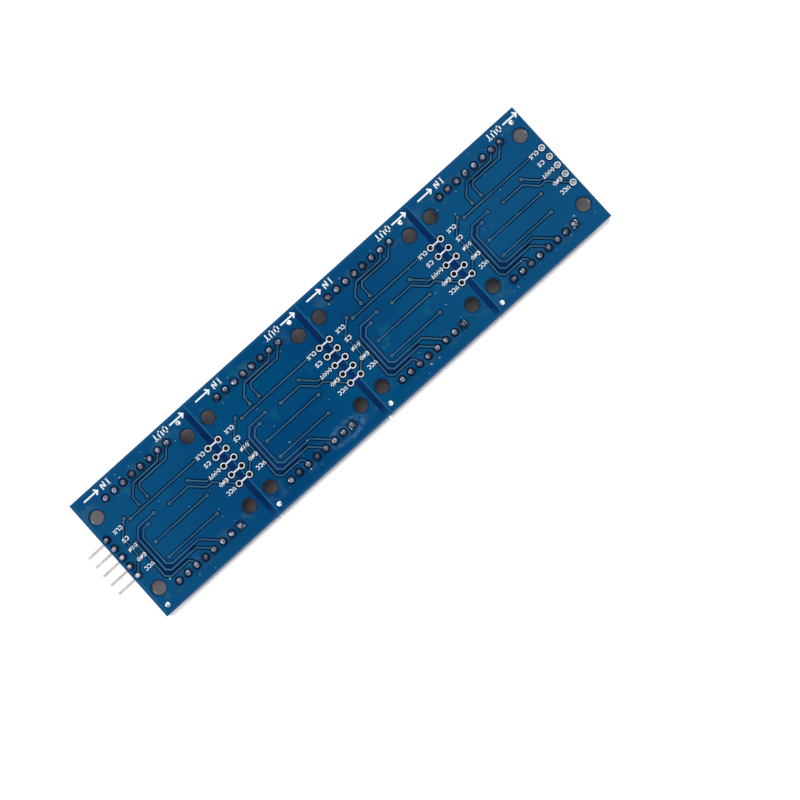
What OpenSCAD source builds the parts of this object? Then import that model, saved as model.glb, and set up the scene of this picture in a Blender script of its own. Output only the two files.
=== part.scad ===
// LED dot matrix module: four 8 x 8 displays plugged into one long driver board.
// The board lies solder side up and the displays face down.
// Origin: centre of all the mounting holes, on the board's solder side.
// +X runs from the input pins to the output pads, +Y across the board, +Z out of the solder side.

/* [Displays] */
// Displays side by side
display_count = 4; // [1:1:4]
// Distance between neighbouring dots of one display
dot_pitch = 4; // [3.9:0.01:4.1]
// Gap between neighbouring displays
display_gap = 0.46; // [0.3:0.02:1]
// Depth of one display, back to face
display_depth = 6.4; // [5.5:0.1:8]
// Diameter of a dot at the display's face
dot_d = 3; // [2.2:0.1:3.4]
// Diameter of a reflector cup at its inner end
cup_d = 2; // [1.6:0.1:2.1]
// How far a dot lies below the display's face
dot_recess = 0.05; // [0:0.01:0.3]
// Side wall of a display shell
shell_wall = 0.8; // [0.6:0.1:0.9]
// Thickness of the resin sheet behind the cups
resin_t = 0.8; // [0.4:0.1:1.2]
// Thickness of the carrier that closes a display's back
carrier_t = 1.6; // [1:0.1:2]
// Clearance between the resin and the shell round it
resin_fit = 0.02; // [0.01:0.01:0.1]

/* [Board] */
// Thickness of the board
board_t = 1.6; // [1:0.1:2.4]
// How far the displays reach past the board's edges
board_inset = 0; // [0:0.02:0.3]
// Diameter of a mounting hole
hole_d = 3.2; // [2.6:0.1:3.6]
// Distance between mounting holes along one display
hole_spacing_x = 26.35; // [25:0.05:27]
// Distance between mounting holes across the board
hole_spacing_y = 20.3; // [19:0.05:20.6]

/* [Copper and ink] */
// Thickness of the copper under its mask
copper_t = 0.05; // [0.03:0.01:0.1]
// Thickness of the printed ink
ink_t = 0.03; // [0.02:0.01:0.06]
// Width of a track
track_w = 0.35; // [0.2:0.01:0.5]
// Gap between two pieces of copper
copper_gap = 0.27; // [0.15:0.01:0.3]
// Distance between the tracks of a bundle
bundle_pitch = 1; // [0.8:0.05:1.1]
// Diameter of a via's ring
via_d = 0.75; // [0.5:0.05:0.9]
// Diameter of a via's hole
via_hole_d = 0.3; // [0.2:0.05:0.4]
// Copper-free strip before the line between two displays
seam_margin_out = 0.75; // [0.4:0.05:0.9]
// Copper-free strip after the line between two displays
seam_margin_in = 0.6; // [0.4:0.05:0.9]
// Copper-free strip along the board's long edges
edge_margin = 0.6; // [0.1:0.05:0.9]
// Diameter of a solder pad
pad_d = 1.5; // [1.4:0.05:1.8]
// Diameter of a plated hole in the board
plated_hole_d = 1.05; // [0.9:0.05:1.1]
// Width of a bar that links two pads across a seam
link_bar_w = 0.36; // [0.2:0.02:0.6]
// Distance between the two pads of a link
link_spacing = 2.95; // [2.7:0.05:3.2]
// Diameter of a bare tinned spot
spot_d = 1.1; // [0.8:0.1:1.5]
// Height of the solder's crown on a tinned spot
spot_h = 0.2; // [0.1:0.02:0.4]
// Distance from a display's output side to its upper tinned spot
upper_spot_end = 2.6; // [2.4:0.05:3]
// Distance from the board's long edge to an upper tinned spot
upper_spot_edge = 2.4; // [2.2:0.05:2.6]
// Distance from a display's input side to its lower tinned spot
lower_spot_end = 2.05; // [1.6:0.05:2.6]
// Distance from the board's long edge to a lower tinned spot
lower_spot_edge = 1.8; // [1.2:0.05:2]
// Line width of the printed arrows
arrow_w = 0.35; // [0.3:0.05:0.5]
// Length of a printed arrow
arrow_len = 4.15; // [3:0.05:4.3]
// Reach of an arrow's head, back and to each side
arrow_head = 0.7; // [0.5:0.05:0.9]
// Distance from the board's long edge to an arrow
arrow_drop = 1.55; // [1.3:0.05:1.6]
// Distance from a display's input side to the tail of its arrow
input_arrow_start = 2.95; // [1:0.05:3]
// Distance from a display's output side to the tip of its arrow
output_arrow_stop = 0.03; // [0.01:0.01:0.5]

/* [Pins and sockets] */
// Distance between neighbouring pins
pin_pitch = 2.54; // [2.5:0.01:2.56]
// Distance between the two rows of pins of one display
row_spacing = 24.13; // [23.8:0.01:24.6]
// Diameter of a display's pin and of a socket contact's tail
pin_d = 0.5; // [0.4:0.05:0.55]
// Clearance round a pin where it is soldered or moulded in
pin_fit = 0.02; // [0.01:0.01:0.05]
// How far a display's pins stand out of its back
pin_len = 3.2; // [2:0.1:3.4]
// Height of a socket, board to display
socket_h = 5; // [4.5:0.1:6]
// Width of a socket
socket_w = 2.5; // [2.2:0.1:2.8]
// Thickness of the socket's plastic over the contacts
socket_roof = 0.5; // [0.4:0.1:0.8]
// Outer diameter of a socket contact
contact_d = 1.3; // [1.1:0.05:1.4]
// Inner diameter of a socket contact
contact_bore_d = 0.62; // [0.6:0.01:0.8]
// Clearance round a contact in its socket
contact_fit = 0.05; // [0.03:0.01:0.1]
// How far a contact stops short of the socket's mouth
contact_recess = 0.2; // [0.1:0.1:0.5]
// How far a tail stands out of the board
tail_out = 1.05; // [1:0.05:1.3]
// Height of a solder joint above its pad
joint_h = 0.9; // [0.6:0.05:0.9]
// Thickness of the solder round a pin at the top of its joint
joint_wall = 0.1; // [0.05:0.01:0.15]
// How far a solder joint stops short of its pad's rim
joint_inset = 0.03; // [0.02:0.01:0.1]

/* [Input header] */
// Side of a square header pin
header_pin_w = 0.56; // [0.5:0.02:0.62]
// Height of the header's plastic block
header_block_h = 2.5; // [2:0.1:3]
// Width of the header's plastic block
header_block_w = 2.3; // [2:0.1:2.3]
// How far the pins reach past the board's end
header_reach = 5.1; // [3:0.1:8]
// Taper length at a header pin's tip
pin_taper = 0.3; // [0.2:0.1:0.8]

/* [Driver parts] */
// Length of a driver chip's body
chip_l = 15.4; // [14:0.1:16]
// Width of a driver chip's body
chip_w = 7.5; // [7:0.1:8]
// Height of a driver chip's body
chip_h = 2.3; // [2:0.1:2.5]
// Gap between a driver chip's body and the board
chip_standoff = 0.15; // [0.1:0.05:0.3]
// Distance between neighbouring leads of a driver chip
lead_pitch = 1.27; // [1.2:0.01:1.27]
// Width of a lead
lead_w = 0.42; // [0.3:0.02:0.5]
// Thickness of a lead
lead_t = 0.25; // [0.2:0.01:0.3]
// Distance over the tips of opposite leads
lead_span = 10.3; // [10:0.1:11]
// Length of a lead's foot
lead_foot = 0.75; // [0.5:0.05:0.9]
// Length of a small resistor or capacitor
chip_part_l = 2; // [1.6:0.1:3.2]
// Width of a small resistor or capacitor
chip_part_w = 1.25; // [0.8:0.05:1.6]
// Height of a small resistor
resistor_h = 0.5; // [0.4:0.05:0.6]
// Height of a small capacitor
capacitor_h = 0.9; // [0.6:0.05:1.2]
// Length of a supply capacitor
tank_l = 3.5; // [3:0.1:4]
// Width of a supply capacitor
tank_w = 2.8; // [2.4:0.1:3]
// Height of a supply capacitor
tank_h = 1.9; // [1.6:0.1:2.2]
// How much a metal end cap stands proud of a small part's body
cap_proud = 0.05; // [0.02:0.01:0.1]
// Length of a metal end cap on a small part
cap_l = 0.4; // [0.3:0.05:0.6]
// Gap between a driver chip's body and the parts beside it
part_gap = 1; // [0.8:0.1:1.5]
// Distance between the parts beside a driver chip
part_step = 4.5; // [4:0.1:6]

/* [Hidden] */
$fn = 48;
// Dots along one side of a display, pins in one row, and pins of the input header
DOTS = 8;
PINS = 8;
WAYS = 5;
// Leads along one side of a driver chip
LEADS = 12;
// Overshoot of a cut past the face that it opens
CUT = 0.2;

display_size = DOTS * dot_pitch;
segment_pitch = display_size + display_gap;
board_l = display_count * segment_pitch - display_gap - 2 * board_inset;
board_w = display_size - 2 * board_inset;
face_plate_t = display_depth - resin_t - carrier_t;
pocket_size = display_size - 2 * shell_wall;

under_z = -board_t;
back_z = under_z - socket_h;
face_z = back_z - display_depth;
row_y = row_spacing / 2;
link_x = (segment_pitch - link_spacing) / 2;
side_x = chip_l / 2 + part_gap + tank_w / 2;
end_x = board_l / 2;

// Row of sockets and header pins, counted along +X or down from +Y
function pin_x(k) = (k - (PINS + 1) / 2) * pin_pitch;
function way_y(k) = ((WAYS + 1) / 2 - k) * pin_pitch;
// Centre of the n-th display along the board
function centre_x(n) = (n - (display_count + 1) / 2) * segment_pitch;
input_x = centre_x(1) - link_x;
pour_start = -segment_pitch / 2 + seam_margin_in;
pour_end = segment_pitch / 2 - seam_margin_out;
pour_w = board_w - 2 * edge_margin;

// Outline of a track of even width along a path, with mitred corners
function left_of(a, b) = let (d = b - a) [-d[1], d[0]] / norm(d);
function corner(path, k) =
    k == 0 ? left_of(path[0], path[1]) :
    k == len(path) - 1 ? left_of(path[k - 1], path[k]) :
    let (p = left_of(path[k - 1], path[k]), q = left_of(path[k], path[k + 1])) (p + q) / (1 + p * q);
function outline(path, w) = let (last = len(path) - 1) concat(
    [for (k = [0:last]) path[k] + corner(path, k) * w / 2],
    [for (k = [last:-1:0]) path[k] - corner(path, k) * w / 2]
);

// Tracks of one display's share of the board, from its centre. They bend at 45 degrees:
// a point on the slant through p at a given height, or at a given place along the board
function at_y(p, y, rise = 1) = [p[0] + rise * (y - p[1]), y];
function at_x(p, x, rise = 1) = [x, p[1] + rise * (x - p[0])];

// Lanes under the upper sockets, over the lower sockets and beside the input pads
upper_lane = row_y - 1.6;
upper_lane_2 = upper_lane - 0.85;
lower_lane = [for (k = [0:2]) -row_y + 1.9 + k * bundle_pitch];
side_lane = [for (k = [0:2]) -10.5 + k * bundle_pitch];
supply_lane = -11.85;
knee = 0.95;

UPPER_VIAS = [[-4.45, 6.25], [-1.9, 6.25]];
UPPER_BENDS = [[-4.45, 8.2], [-1.9, 8.85]];
CLOCK_VIA = [-7.9, way_y(1)];
SUPPLY_VIA = [-8.9, way_y(1) + 1];
BUNDLE_VIAS = [[side_lane[0] + 0.1, 0.5], [-3.2, 2.6], [-5.75, 1.6]];
CROSS_VIAS = [[-7.1, -2.3], [7.9, -2.3], [-7.1, -6.7], [6.9, -6.7]];
OUTPUT_VIAS = [[0.6, 1.85], [6.8, 3]];
VIAS = concat(UPPER_VIAS, [CLOCK_VIA, SUPPLY_VIA], BUNDLE_VIAS, CROSS_VIAS, OUTPUT_VIAS);

function upper_track(via, bend, pin, lane) = [
    [pin, row_y], at_y([pin, row_y], lane), at_y(bend, lane), bend, via
];
function bundle_track(k, start, pin, rise) = concat(start, [
    [side_lane[k], lower_lane[k] + knee],
    [side_lane[k] + knee, lower_lane[k]],
    at_y([pin, -row_y + rise], lower_lane[k], -1),
    [pin, -row_y + rise],
    [pin, -row_y]
]);
TRACKS = [
    upper_track(UPPER_VIAS[0], UPPER_BENDS[0], pin_x(7), upper_lane),
    upper_track(UPPER_VIAS[1], UPPER_BENDS[1], pin_x(8), upper_lane_2),
    // Clock to the output side
    [CLOCK_VIA, [link_x, way_y(1)]],
    // Supply to the input side
    [
        SUPPLY_VIA, at_x(SUPPLY_VIA, supply_lane),
        at_x([-link_x, way_y(5)], supply_lane), [-link_x, way_y(5)]
    ],
    // Bundle of three to the lower sockets
    bundle_track(0, [BUNDLE_VIAS[0], [side_lane[0], 0.3]], pin_x(3), 1.2),
    bundle_track(1, [BUNDLE_VIAS[1], at_y([side_lane[1], 0.9], 2.6), [side_lane[1], 0.9]], pin_x(5), 0.3),
    bundle_track(2, [BUNDLE_VIAS[2], at_y([side_lane[2], 0.2], 1.6), [side_lane[2], 0.2]], pin_x(6), 0.3),
    // Two straight crossings under the display
    [CROSS_VIAS[0], CROSS_VIAS[1]],
    [CROSS_VIAS[2], CROSS_VIAS[3]],
    // Supply and data to the output side
    [
        OUTPUT_VIAS[0], [6.2, 1.85], at_y([6.2, 1.85], -0.9, -1),
        at_y([link_x, way_y(5)], -0.9, -1), [link_x, way_y(5)]
    ],
    [OUTPUT_VIAS[1], at_y(OUTPUT_VIAS[1], way_y(3), -1), [link_x, way_y(3)]]
];

// Copper left out between tracks that run close side by side
middle = bundle_pitch / 2;
upper_middle = (upper_lane + upper_lane_2) / 2;
CLEARED = [
    [
        [UPPER_BENDS[0][0] + 0.6, upper_middle - 1.3],
        [UPPER_BENDS[0][0] + 1.9, upper_middle],
        [pin_x(7) - 2.2, upper_middle]
    ],
    [
        [side_lane[0] + middle, -0.4],
        [side_lane[0] + middle, lower_lane[0] + middle + knee],
        [side_lane[0] + middle + knee, lower_lane[0] + middle],
        [pin_x(3) - 0.5, lower_lane[0] + middle]
    ],
    [
        [-6.4, 2.1],
        at_y([side_lane[1] + middle, 0.55], 2.1),
        [side_lane[1] + middle, 0.55],
        [side_lane[1] + middle, lower_lane[1] + middle + knee],
        [side_lane[1] + middle + knee, lower_lane[1] + middle],
        [pin_x(4) + 0.1, lower_lane[1] + middle]
    ]
];
SPOTS = [
    [segment_pitch / 2 - upper_spot_end, board_w / 2 - upper_spot_edge],
    [-segment_pitch / 2 + lower_spot_end, -board_w / 2 + lower_spot_edge]
];

// Node names: the first list once, the second for each display
SINGLE = [
    "circuit_board", "ground_plane", "signal_tracks", "solder_pads", "link_pads", "output_pads",
    "tinned_spots", "direction_arrows", "header_joints", "header_block", "header_pins",
    "bias_resistors", "bypass_capacitors", "supply_capacitors"
];
PER_DISPLAY = [
    "display_shell", "display_resin", "display_carrier", "display_pins", "upper_socket", "lower_socket",
    "socket_contacts", "socket_joints", "driver_chip", "driver_leads"
];

// Placement helpers
module each_display() {
    for (n = [1:display_count])
        translate([centre_x(n), 0, 0])
            children();
}

module each_socket_pin() {
    for (side = [-1, 1], k = [1:PINS])
        translate([pin_x(k), side * row_y, 0])
            children();
}

module each_way() {
    for (k = [1:WAYS])
        translate([0, way_y(k), 0])
            children();
}

module each_seam() {
    if (display_count > 1)
        for (n = [1:display_count - 1])
            translate([centre_x(n) + segment_pitch / 2, 0, 0])
                children();
}

module each_hole() {
    for (sx = [-1, 1], sy = [-1, 1])
        translate([sx * hole_spacing_x / 2, sy * hole_spacing_y / 2, 0])
            children();
}

module each_dot() {
    for (i = [1:DOTS], j = [1:DOTS])
        translate([(i - (DOTS + 1) / 2) * dot_pitch, (j - (DOTS + 1) / 2) * dot_pitch, 0])
            children();
}

module drill(d, top, bottom) {
    translate([0, 0, bottom - CUT])
        cylinder(h = top - bottom + 2 * CUT, d = d);
}

// A box centred on X and Y, standing on z
module block(l, w, h, z) {
    translate([-l / 2, -w / 2, z])
        cube([l, w, h]);
}

// Laminate of the board, with every hole in it
module circuit_board() {
    color("midnightblue")
        difference() {
            block(board_l, board_w, board_t, under_z);
            each_display() {
                each_hole()
                    drill(hole_d, 0, under_z);
                each_socket_pin()
                    drill(plated_hole_d, 0, under_z);
            }
            each_seam()
                for (side = [-1, 1])
                    translate([side * link_spacing / 2, 0, 0])
                        each_way()
                            drill(plated_hole_d, 0, under_z);
            for (x = [input_x, -input_x])
                translate([x, 0, 0])
                    each_way()
                        drill(plated_hole_d, 0, under_z);
        }
}

// Flat outlines of one display's copper
module pad_shapes(d) {
    for (side = [-1, 1], k = [1:PINS])
        if (side == -1 && k == PINS)
            translate([pin_x(k), -row_y])
                square(d, center = true);
        else
            translate([pin_x(k), side * row_y])
                circle(d = d);
}

module way_shapes(d) {
    for (side = [-1, 1], k = [1:WAYS])
        translate([side * link_x, way_y(k)])
            circle(d = d);
}

module via_shapes(d) {
    for (at = VIAS)
        translate(at)
            circle(d = d);
}

// Wide copper area under the mask, one sheet for each display
module ground_plane() {
    color("steelblue")
        each_display()
            linear_extrude(copper_t)
                difference() {
                    translate([pour_start, -pour_w / 2])
                        square([pour_end - pour_start, pour_w]);
                    for (path = TRACKS)
                        polygon(outline(path, track_w + 2 * copper_gap));
                    for (path = CLEARED)
                        polygon(outline(path, 2 * copper_gap));
                    via_shapes(via_d + 2 * copper_gap);
                    pad_shapes(pad_d + 2 * copper_gap);
                    way_shapes(pad_d + 2 * copper_gap);
                    for (sx = [-1, 1], sy = [-1, 1])
                        translate([sx * hole_spacing_x / 2, sy * hole_spacing_y / 2])
                            circle(d = hole_d + 2 * copper_gap);
                    for (at = SPOTS)
                        translate(at)
                            circle(d = spot_d);
                }
}

// Tracks and via rings under the mask
module signal_tracks() {
    color("cadetblue")
        each_display()
            linear_extrude(copper_t)
                difference() {
                    union() {
                        for (path = TRACKS)
                            polygon(outline(path, track_w));
                        via_shapes(via_d);
                    }
                    via_shapes(via_hole_d);
                    pad_shapes(pad_d);
                    way_shapes(pad_d);
                }
}

// Bare ring round a plated hole
module ring_pad() {
    linear_extrude(copper_t)
        difference() {
            circle(d = pad_d);
            circle(d = plated_hole_d);
        }
}

// Pads under the joints of the sockets and the input header
module solder_pads() {
    color("silver") {
        each_display()
            linear_extrude(copper_t)
                difference() {
                    pad_shapes(pad_d);
                    for (side = [-1, 1], k = [1:PINS])
                        translate([pin_x(k), side * row_y])
                            circle(d = plated_hole_d);
                }
        translate([input_x, 0, 0])
            each_way()
                ring_pad();
    }
}

// Pairs of bare rings that carry the five lines across a seam
module link_pads() {
    color("silver")
        each_seam()
            each_way()
                linear_extrude(copper_t)
                    difference() {
                        union() {
                            for (side = [-1, 1])
                                translate([side * link_spacing / 2, 0])
                                    circle(d = pad_d);
                            square([link_spacing, link_bar_w], center = true);
                        }
                        for (side = [-1, 1])
                            translate([side * link_spacing / 2, 0])
                                circle(d = plated_hole_d);
                    }
}

// Five open pads for the next module
module output_pads() {
    color("silver")
        translate([-input_x, 0, 0])
            each_way()
                ring_pad();
}

// Bare round marks, crowned with solder, in two corners of each display's share of the board
module tinned_spots() {
    crown_h = spot_h - copper_t;
    color("silver")
        each_display()
            for (at = SPOTS)
                translate(at)
                    rotate_extrude()
                        polygon(concat(
                            [[0, 0], [spot_d / 2, 0]],
                            [for (a = [0:15:90]) [spot_d / 2 * cos(a), copper_t + crown_h * sin(a)]]
                        ));
}

// Printed arrow that points along +X, from its tail
module arrow() {
    tip = arrow_len - arrow_w / sqrt(2);
    translate([0, 0, copper_t])
        linear_extrude(ink_t)
            union() {
                polygon(outline([[0, 0], [tip, 0]], arrow_w));
                polygon(outline(
                    [[tip - arrow_head, arrow_head], [tip, 0], [tip - arrow_head, -arrow_head]],
                    arrow_w
                ));
            }
}

// The way the data runs: an arrow beside each input and each output
module direction_arrows() {
    share_end = display_size / 2 - board_inset;
    color("white")
        each_display() {
            translate([-share_end + input_arrow_start, board_w / 2 - arrow_drop, 0])
                arrow();
            translate([share_end - output_arrow_stop - arrow_len, board_w / 2 - arrow_drop, 0])
                arrow();
        }
}

// Solder cone with hollow flanks, open for a pin
module solder_cone(top_d) {
    base_r = pad_d / 2 - joint_inset;
    top_r = top_d / 2;
    translate([0, 0, copper_t])
        rotate_extrude()
            polygon(concat(
                [[0, 0]],
                [for (a = [0:15:90]) [top_r + (base_r - top_r) * (1 - sin(a)), joint_h * (1 - cos(a))]],
                [[0, joint_h]]
            ));
}

// Sixteen joints that hold one display's sockets
module socket_joints() {
    bore = pin_d + 2 * pin_fit;
    color("gainsboro")
        each_socket_pin()
            difference() {
                solder_cone(bore + 2 * joint_wall);
                drill(bore, joint_h + copper_t, copper_t);
            }
}

// Five joints that hold the input header
module header_joints() {
    bore = header_pin_w + 2 * pin_fit;
    color("gainsboro")
        translate([input_x, 0, 0])
            each_way()
                difference() {
                    solder_cone(bore * sqrt(2) + 2 * joint_wall);
                    block(bore, bore, joint_h + 2 * CUT, copper_t - CUT);
                }
}

// Plastic block round the legs of the input header, under the board
module header_block() {
    bore = header_pin_w + 2 * pin_fit;
    color("black")
        translate([input_x, 0, 0])
            difference() {
                block(header_block_w, WAYS * pin_pitch, header_block_h, under_z - header_block_h);
                each_way()
                    block(bore, bore, header_block_h + 2 * CUT, under_z - header_block_h - CUT);
            }
}

// Five square pins: up through the board, and bent outwards under the block
module header_pins() {
    w = header_pin_w;
    foot_z = under_z - header_block_h - w;
    reach = input_x + end_x + header_reach;
    color("silver")
        translate([input_x, 0, 0])
            each_way() {
                block(w, w, copper_t + tail_out - foot_z, foot_z);
                translate([pin_taper - reach, -w / 2, foot_z])
                    cube([reach - pin_taper, w, w]);
                translate([0, w / 2, foot_z])
                    rotate([90, 0, 0])
                        linear_extrude(w)
                            polygon([
                                [pin_taper - reach, 0], [-reach, w / 4], [-reach, 3 * w / 4], [pin_taper - reach, w]
                            ]);
            }
}

// Tapered plug of one reflector cup, between two heights above the display's face
module cup(low, high, fit) {
    draft = (dot_d - cup_d) / face_plate_t;
    translate([0, 0, face_z + low])
        cylinder(h = high - low, d1 = dot_d - draft * low - 2 * fit, d2 = dot_d - draft * high - 2 * fit);
}

// Plastic shell of one display: a square frame with a cup for every dot
module display_shell() {
    color("white")
        difference() {
            block(display_size, display_size, display_depth, face_z);
            block(pocket_size, pocket_size, resin_t + carrier_t + CUT, face_z + face_plate_t);
            each_dot()
                cup(-CUT, face_plate_t + CUT, 0);
        }
}

// Milky resin: a dot in every cup, and the sheet that joins them
module display_resin() {
    sheet = pocket_size - 2 * resin_fit;
    color("ghostwhite")
        union() {
            block(sheet, sheet, resin_t, face_z + face_plate_t);
            each_dot()
                cup(dot_recess, face_plate_t + resin_t / 2, resin_fit);
        }
}

// Circuit carrier with the light chips, which closes the display's back
module display_carrier() {
    sheet = pocket_size - 2 * resin_fit;
    color("rosybrown")
        difference() {
            block(sheet, sheet, carrier_t, back_z - carrier_t);
            each_socket_pin()
                drill(pin_d + 2 * pin_fit, back_z, back_z - carrier_t);
        }
}

// Sixteen pins of one display
module display_pins() {
    color("silver")
        each_socket_pin()
            translate([0, 0, back_z - carrier_t])
                cylinder(h = carrier_t + pin_len, d = pin_d);
}

// Body of one eight-way socket
module socket() {
    cavity_top = under_z - socket_roof;
    color("dimgray")
        difference() {
            block(PINS * pin_pitch, socket_w, socket_h, back_z);
            for (k = [1:PINS])
                translate([pin_x(k), 0, 0]) {
                    translate([0, 0, back_z - CUT])
                        cylinder(h = cavity_top - back_z + CUT, d = contact_d + 2 * contact_fit);
                    drill(pin_d + 2 * contact_fit, under_z, cavity_top);
                }
        }
}

// Sixteen contacts of one display's two sockets, with their tails
module socket_contacts() {
    mouth_z = back_z + contact_recess;
    cavity_top = under_z - socket_roof;
    grip = cavity_top - mouth_z;
    color("goldenrod")
        each_socket_pin()
            difference() {
                union() {
                    translate([0, 0, mouth_z])
                        cylinder(h = grip, d = contact_d);
                    translate([0, 0, cavity_top - CUT])
                        cylinder(h = copper_t + tail_out - cavity_top + CUT, d = pin_d);
                }
                translate([0, 0, mouth_z - CUT])
                    cylinder(h = grip - socket_roof + CUT, d = contact_bore_d);
            }
}

// Body of one driver chip, under the board
module driver_chip() {
    color("black")
        block(chip_l, chip_w, chip_h, under_z - chip_standoff - chip_h);
}

// Twenty-four bent leads of one driver chip
module driver_leads() {
    mid_z = under_z - chip_standoff - chip_h / 2;
    foot_z = under_z - lead_t / 2;
    foot_y = lead_span / 2 - lead_foot;
    path = [
        [chip_w / 2, mid_z], [foot_y - 0.15, mid_z],
        [foot_y, foot_z], [lead_span / 2, foot_z]
    ];
    color("silver")
        for (side = [0, 180], k = [1:LEADS])
            rotate([0, 0, side])
                translate([(k - (LEADS + 1) / 2) * lead_pitch - lead_w / 2, 0, 0])
                    rotate([90, 0, 90])
                        linear_extrude(lead_w)
                            polygon(outline(path, lead_t));
}

// Small part with a metal cap on each end, hanging under the board
module capped_part(l, w, h) {
    block(l - 2 * cap_l, w - 2 * cap_proud, h - cap_proud, under_z - h + cap_proud);
    for (side = [-1, 1])
        translate([side * (l - cap_l) / 2, 0, 0])
            block(cap_l, w, h, under_z - h);
}

// Resistor that sets one display's brightness, beside its driver chip
module bias_resistors() {
    color("dimgray")
        each_display()
            translate([side_x, part_step, 0])
                rotate([0, 0, 90])
                    capped_part(chip_part_l, chip_part_w, resistor_h);
}

// Small capacitor across each driver chip's supply
module bypass_capacitors() {
    color("tan")
        each_display()
            translate([side_x, -part_step, 0])
                rotate([0, 0, 90])
                    capped_part(chip_part_l, chip_part_w, capacitor_h);
}

// Larger capacitor beside each driver chip
module supply_capacitors() {
    color("goldenrod")
        each_display()
            translate([side_x, 0, 0])
                rotate([0, 0, 90])
                    capped_part(tank_l, tank_w, tank_h);
}

circuit_board();
ground_plane();
signal_tracks();
solder_pads();
link_pads();
output_pads();
tinned_spots();
direction_arrows();
header_joints();
header_block();
header_pins();
bias_resistors();
bypass_capacitors();
supply_capacitors();
for (n = [1:display_count]) {
    at = [centre_x(n), 0, 0];
    translate(at) display_shell();
    translate(at) display_resin();
    translate(at) display_carrier();
    translate(at) display_pins();
    translate(at + [0, row_y, 0]) socket();
    translate(at - [0, row_y, 0]) socket();
    translate(at) socket_contacts();
    translate(at) socket_joints();
    translate(at) driver_chip();
    translate(at) driver_leads();
}
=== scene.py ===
import math
import random

import bmesh
import bpy
from mathutils import Matrix, Vector


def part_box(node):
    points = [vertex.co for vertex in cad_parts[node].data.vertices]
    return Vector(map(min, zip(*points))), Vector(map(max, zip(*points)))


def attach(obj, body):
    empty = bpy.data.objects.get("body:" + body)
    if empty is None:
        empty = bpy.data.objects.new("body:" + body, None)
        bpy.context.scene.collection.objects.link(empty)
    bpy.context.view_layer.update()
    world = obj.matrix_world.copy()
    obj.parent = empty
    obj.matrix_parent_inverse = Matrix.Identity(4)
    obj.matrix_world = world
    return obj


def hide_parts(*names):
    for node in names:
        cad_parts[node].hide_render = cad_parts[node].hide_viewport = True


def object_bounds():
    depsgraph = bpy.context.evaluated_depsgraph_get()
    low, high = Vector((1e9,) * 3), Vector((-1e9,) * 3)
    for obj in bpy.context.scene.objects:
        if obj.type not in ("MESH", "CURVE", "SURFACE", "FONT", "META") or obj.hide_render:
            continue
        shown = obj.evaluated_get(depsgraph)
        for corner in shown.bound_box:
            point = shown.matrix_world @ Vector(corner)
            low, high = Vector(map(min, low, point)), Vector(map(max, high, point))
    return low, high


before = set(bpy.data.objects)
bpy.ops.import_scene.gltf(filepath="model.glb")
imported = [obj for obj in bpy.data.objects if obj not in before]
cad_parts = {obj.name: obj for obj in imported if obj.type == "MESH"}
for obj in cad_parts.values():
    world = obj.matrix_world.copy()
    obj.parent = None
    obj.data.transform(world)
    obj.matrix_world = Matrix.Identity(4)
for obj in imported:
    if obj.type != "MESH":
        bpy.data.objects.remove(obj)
cad_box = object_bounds()
scene = bpy.context.scene
scene.view_settings.view_transform = "Standard"
MM = 0.001


# Camera: a long lens a little over half a metre above the solder side, leaning
# over the long edge so that the displays show as a thin line below it. The
# board runs up to the right, with the input pins at the lower left.
camera_lens = bpy.data.cameras.new("camera")
camera_lens.lens = 119.96
camera_lens.clip_start = 0.01
camera = bpy.data.objects.new("camera", camera_lens)
camera.location = (-0.00068, -0.0541, 0.575)
camera.rotation_euler = [math.radians(angle) for angle in (3.199, 2.262, -42.03)]
scene.collection.objects.link(camera)
scene.camera = camera


# Light: two softboxes stand on the arrows' side of the board, and a low one
# lights the long sides of the displays. A plain pale room surrounds them.
def softbox(name, place, side, power):
    """A square lamp that faces the module."""
    lamp = bpy.data.lights.new(name, "AREA")
    lamp.shape = "SQUARE"
    lamp.size = side
    lamp.energy = power
    stand = bpy.data.objects.new(name, lamp)
    stand.location = place
    stand.rotation_euler = (-Vector(place)).to_track_quat("-Z", "Y").to_euler()
    scene.collection.objects.link(stand)
    return stand


softbox("softbox_input", (-0.60, 0.38, 0.48), 0.32, 2.8)
softbox("softbox_output", (0.50, 0.52, 0.50), 0.38, 2.65)
low_softbox = softbox("softbox_low", (0.05, -0.45, 0.45), 0.30, 0.8)
low_softbox.visible_glossy = False


def add_node(tree, kind, inputs=None, **settings):
    """A shader node with its settings, and with a value or a link on each named input."""
    node = tree.nodes.new("ShaderNode" + kind)
    for name, value in settings.items():
        setattr(node, name, value)
    for key, value in (inputs or {}).items():
        if isinstance(value, bpy.types.NodeSocket):
            tree.links.new(value, node.inputs[key])
        else:
            node.inputs[key].default_value = value
    return node


def maths(tree, operation, *values, **settings):
    """What a Math node makes of plain values and links."""
    return add_node(tree, "Math", dict(enumerate(values)), operation=operation, **settings).outputs[0]


def seen_directly(tree):
    """One where the camera, a polished surface or glass looks at the backdrop, and nought for its light."""
    path = add_node(tree, "LightPath")
    mirrored = maths(tree, "ADD", path.outputs["Is Glossy Ray"], path.outputs["Is Transmission Ray"])
    return maths(tree, "ADD", path.outputs["Is Camera Ray"], mirrored, use_clamp=True)


room = bpy.data.worlds.new("room")
scene.world = room
room.use_nodes = True
room_tree = room.node_tree
room_tree.nodes.clear()
room_light = add_node(room_tree, "Background", {"Color": (0.94, 0.97, 1, 1), "Strength": 0.5})
room_white = add_node(room_tree, "Background", {"Color": (1, 1, 1, 1), "Strength": 1.0})
room_mix = add_node(room_tree, "MixShader", {0: seen_directly(room_tree), 1: room_light.outputs[0],
                                             2: room_white.outputs[0]})
add_node(room_tree, "OutputWorld", {"Surface": room_mix.outputs[0]})


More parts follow.
